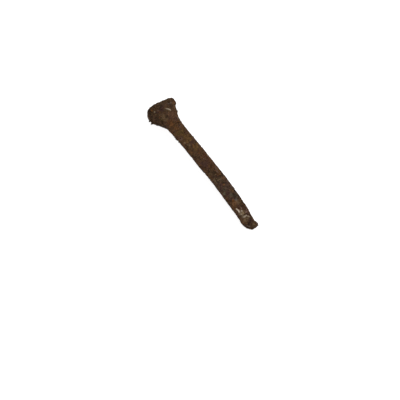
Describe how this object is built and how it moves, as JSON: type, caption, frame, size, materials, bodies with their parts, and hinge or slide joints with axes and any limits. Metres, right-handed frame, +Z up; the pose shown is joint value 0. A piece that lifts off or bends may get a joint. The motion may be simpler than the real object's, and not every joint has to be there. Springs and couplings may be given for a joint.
{
  "type": "rail spike",
  "caption": "Square-shanked cut track spike with a hooked head and a chisel point, driven into a tie to hold down a rail foot; used, rusted and slightly bowed.",
  "frame": {"origin": "on the floor, under the middle of the spike as it lies on its lip and its chisel heel", "axes": "+X along the spike from the crown to the point, +Z up and out of the back of the spike, +Y to the left of the crown-to-point direction"},
  "size_m": [0.1748, 0.0358, 0.037],
  "materials": {
    "rusted_steel": "matte",
    "rust_scale": "matte",
    "pale_crust": "matte"
  },
  "bodies": {
    "root": {"spike_forging": "rusted_steel", "rim_scale_fins": "rust_scale", "flank_scale_plate": "rust_scale", "head_crust": "pale_crust", "point_crust": "pale_crust"}
  },
  "joints": []
}
